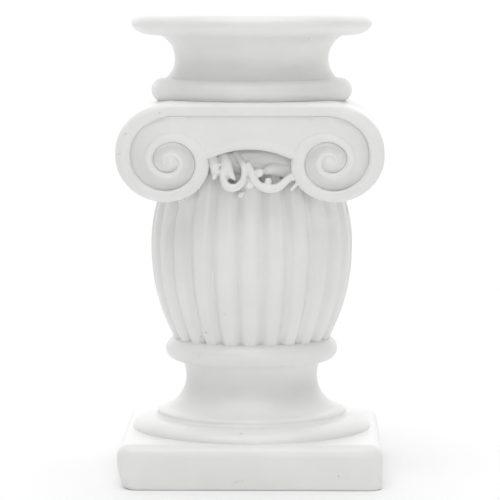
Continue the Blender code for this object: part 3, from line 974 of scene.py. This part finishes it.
def coat(casting, material):
    """One material all over, smooth shading, and crisp creases where the carving turns sharply."""
    casting.data.materials.clear()
    casting.data.materials.append(material)
    casting.data.polygons.foreach_set("material_index", [0] * len(casting.data.polygons))
    casting.data.shade_smooth()
    casting.data.set_sharp_from_angle(angle=math.radians(CRISP_ANGLE))


def make_crumbs():
    """Loose grains of the casting, stuck under the left volute."""
    bm = bmesh.new()
    for x, drop, setback, radius in CRUMBS:
        place = Matrix.Translation((x, -capital_front + setback, arch_crown - drop))
        shape = place @ Matrix.Rotation(drop * CRUMB_TILT, 4, "Y") @ Matrix.Diagonal(CRUMB_SHAPE)
        bmesh.ops.create_icosphere(bm, subdivisions=CRUMB_SPLITS, radius=radius, matrix=shape)
    return object_from("crumbs", bm)


def met_first(parts, x, z):
    """The place that is met first from the front at x and z, and the part that it lies on."""
    hits = []
    for part in parts:
        met, place = part.ray_cast((x, RAY_START, z), (0.0, 1.0, 0.0))[:2]
        if met:
            hits.append((place.copy(), part))
    return min(hits, key=lambda hit: hit[0].y)


def cut_away(part, cutter):
    """The part without what the cutter fills. The cutter goes."""
    cut = part.modifiers.new(f"cut {cutter.name}", "BOOLEAN")
    cut.operation = "DIFFERENCE"
    cut.solver = "EXACT"
    cut.object = cutter
    flawed = evaluated(part, part.name)
    bpy.data.objects.remove(cutter, do_unlink=True)
    return flawed


def make_pit(place, half_width, half_height, depth):
    """A small rounded lump at place, for cutting one pit."""
    bm = bmesh.new()
    shape = Matrix.Translation(place) @ Matrix.Diagonal((half_width, depth, half_height, 1.0))
    bmesh.ops.create_icosphere(bm, subdivisions=PIT_SPLITS, radius=1.0, matrix=shape)
    return object_from("pit", bm)


def make_crack(barrel, tree, material):
    """A thin crooked line that lies on the barrel, for cutting the hairline crack."""
    places = []
    for (x, z), (end_x, end_z) in zip(CRACK, CRACK[1:]):
        for share in CRACK_SHARES:
            place, part = met_first([barrel], x + (end_x - x) * share, z + (end_z - z) * share)
            places.append(place)
    curve = bpy.data.curves.new("crack", "CURVE")
    curve.dimensions = "3D"
    spline = curve.splines.new("POLY")
    spline.points.add(len(places) - 1)
    for corner, place in zip(spline.points, places):
        corner.co = (*place, 1.0)
        corner.radius = CRACK_HALF_WIDTH
    values = {"Layers": 1, "Layer Gap": 0.0, "Spacing": CRACK_SPACING, "Material": material}
    return tree.grow(new_object("crack", curve), "crack", values)


def flaw_the_surface(parts, tree, material):
    """The parts, the barrel first, with the pits and the hairline crack cut into their fronts."""
    bpy.context.view_layer.update()
    parts = list(parts)
    for x, z, half_width, half_height, depth in PITS:
        place, part = met_first(parts, x, z)
        parts[parts.index(part)] = cut_away(part, make_pit(place, half_width, half_height, depth))
        bpy.context.view_layer.update()
    parts[0] = cut_away(parts[0], make_crack(parts[0], tree, material))
    return parts


def satin_white():
    """Smooth casting in satin white: a faint cloudiness, a fine grain and a slightly uneven skin."""
    material = bpy.data.materials.new("satin white casting")
    material.use_nodes = True
    nodes = material.node_tree.nodes
    links = material.node_tree.links
    shader = nodes["Principled BSDF"]
    shader.inputs["IOR"].default_value = 1.5
    shader.inputs["Metallic"].default_value = 0.0
    place = nodes.new("ShaderNodeTexCoord")

    def noise(settings):
        scale, detail, roughness = settings
        made = nodes.new("ShaderNodeTexNoise")
        made.inputs["Scale"].default_value = scale
        made.inputs["Detail"].default_value = detail
        made.inputs["Roughness"].default_value = roughness
        links.new(place.outputs["Object"], made.inputs["Vector"])
        return made.outputs["Fac"]

    def spread(source, low, high):
        made = nodes.new("ShaderNodeMapRange")
        made.inputs["From Min"].default_value = NOISE_RANGE[0]
        made.inputs["From Max"].default_value = NOISE_RANGE[1]
        made.inputs["To Min"].default_value = low
        made.inputs["To Max"].default_value = high
        links.new(source, made.inputs["Value"])
        return made.outputs["Result"]

    def bump(settings, source):
        made = nodes.new("ShaderNodeBump")
        made.inputs["Strength"].default_value, made.inputs["Distance"].default_value = settings
        links.new(source, made.inputs["Height"])
        return made

    clouds = nodes.new("ShaderNodeMix")
    clouds.data_type = "RGBA"
    clouds.inputs["A"].default_value = DARKER_WHITE
    clouds.inputs["B"].default_value = LIGHTER_WHITE
    links.new(spread(noise(CLOUD_NOISE), 0.0, 1.0), clouds.inputs["Factor"])
    links.new(clouds.outputs["Result"], shader.inputs["Base Color"])
    links.new(spread(noise(SHEEN_NOISE), *SHEEN_RANGE), shader.inputs["Roughness"])
    uneven = bump(UNEVEN_BUMP, noise(UNEVEN_NOISE))
    grain = bump(GRAIN_BUMP, noise(GRAIN_NOISE))
    links.new(uneven.outputs["Normal"], grain.inputs["Normal"])
    links.new(grain.outputs["Normal"], shader.inputs["Normal"])
    return material


def make_floor():
    """A wide pale floor that fills the picture behind the pillar."""
    bm = bmesh.new()
    bmesh.ops.create_grid(bm, x_segments=1, y_segments=1, size=FLOOR_HALF)
    floor = object_from("pale_floor", bm)
    material = bpy.data.materials.new("pale matt floor")
    material.use_nodes = True
    shader = material.node_tree.nodes["Principled BSDF"]
    shader.inputs["Base Color"].default_value = FLOOR_COLOUR
    shader.inputs["Roughness"].default_value = FLOOR_ROUGHNESS
    shader.inputs["Specular IOR Level"].default_value = FLOOR_SHINE
    floor.data.materials.append(material)


def make_camera():
    camera = new_object("camera", bpy.data.cameras.new("camera"))
    camera.data.lens = CAMERA_LENS
    camera.data.sensor_width = CAMERA_SENSOR
    camera.data.clip_start, camera.data.clip_end = CAMERA_CLIP
    azimuth = math.radians(CAMERA_AZIMUTH)
    side = CAMERA_DISTANCE * math.sin(azimuth)
    camera.location = (side, -CAMERA_DISTANCE * math.cos(azimuth), CAMERA_HEIGHT)
    look = Vector(CAMERA_AIM) - camera.location
    camera.rotation_euler = look.to_track_quat("-Z", "Y").to_euler()
    bpy.context.scene.camera = camera


def make_sun(name, toward, strength, spread):
    """A soft far light that comes from the direction toward."""
    light = bpy.data.lights.new(name, "SUN")
    light.energy = strength
    light.angle = math.radians(spread)
    lamp = new_object(name, light)
    lamp.rotation_euler = Vector(toward).to_track_quat("Z", "Y").to_euler()


def make_surround():
    """A pale studio tent: brightest behind the pillar, dim towards the front, some more overhead."""
    world = bpy.data.worlds.new("pale surround")
    world.use_nodes = True
    nodes = world.node_tree.nodes
    links = world.node_tree.links
    place = nodes.new("ShaderNodeTexCoord")
    parts = nodes.new("ShaderNodeSeparateXYZ")
    links.new(place.outputs["Generated"], parts.inputs["Vector"])
    depth = nodes.new("ShaderNodeMapRange")
    depth.inputs["From Min"].default_value = -1.0
    depth.inputs["From Max"].default_value = 1.0
    links.new(parts.outputs["Y"], depth.inputs["Value"])
    fall = nodes.new("ShaderNodeMath")
    fall.operation = "POWER"
    fall.inputs[1].default_value = SURROUND_FALL
    links.new(depth.outputs["Result"], fall.inputs[0])
    backdrop = nodes.new("ShaderNodeMath")
    backdrop.operation = "MULTIPLY_ADD"
    backdrop.inputs[1].default_value = SURROUND_BEHIND - SURROUND_IN_FRONT
    backdrop.inputs[2].default_value = SURROUND_IN_FRONT
    links.new(fall.outputs["Value"], backdrop.inputs[0])
    height = nodes.new("ShaderNodeMath")
    height.operation = "MULTIPLY_ADD"
    height.inputs[1].default_value = SURROUND_OVERHEAD
    links.new(parts.outputs["Z"], height.inputs[0])
    links.new(backdrop.outputs["Value"], height.inputs[2])
    nodes["Background"].inputs["Color"].default_value = (1.0, 1.0, 1.0, 1.0)
    links.new(height.outputs["Value"], nodes["Background"].inputs["Strength"])
    bpy.context.scene.world = world


def make_light():
    make_surround()
    for name, (toward, strength, spread) in LAMPS.items():
        make_sun(name, toward, strength, spread)
    bpy.context.scene.view_settings.view_transform = "Standard"


finish = satin_white()
leaf_bands = band_tree()
front_bands = (
    LOOP_BAND, SWAG_BAND, TONGUE_LEAF, WEB_LEAF, LEFT_LEAF, ARM_LEAF, TWIG_BAND,
    GROUND_BAND, LOW_GROUND_BAND,
)
back_bands = (LOOP_BAND, SWAG_BAND)
pieces_of_the_casting = [
    make_barrel(finish),
    make_foot(),
    make_plinth(),
    make_capital(),
    make_crown(),
    make_back_panel(),
    make_crumbs(),
    make_scroll("front scroll", front_bands, 0.0, KNOBS, FRONT_LAYERS, 0.0, leaf_bands, finish),
    make_scroll("back scroll", back_bands, BACK_SETBACK, (), BACK_LAYERS, math.pi, leaf_bands, finish),
]
pieces_of_the_casting = flaw_the_surface(pieces_of_the_casting, leaf_bands, finish)
pillar = melt_together("pillar_casting", pieces_of_the_casting)
coat(pillar, finish)
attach(pillar, "root")
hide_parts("pillar")

make_floor()
make_light()
make_camera()
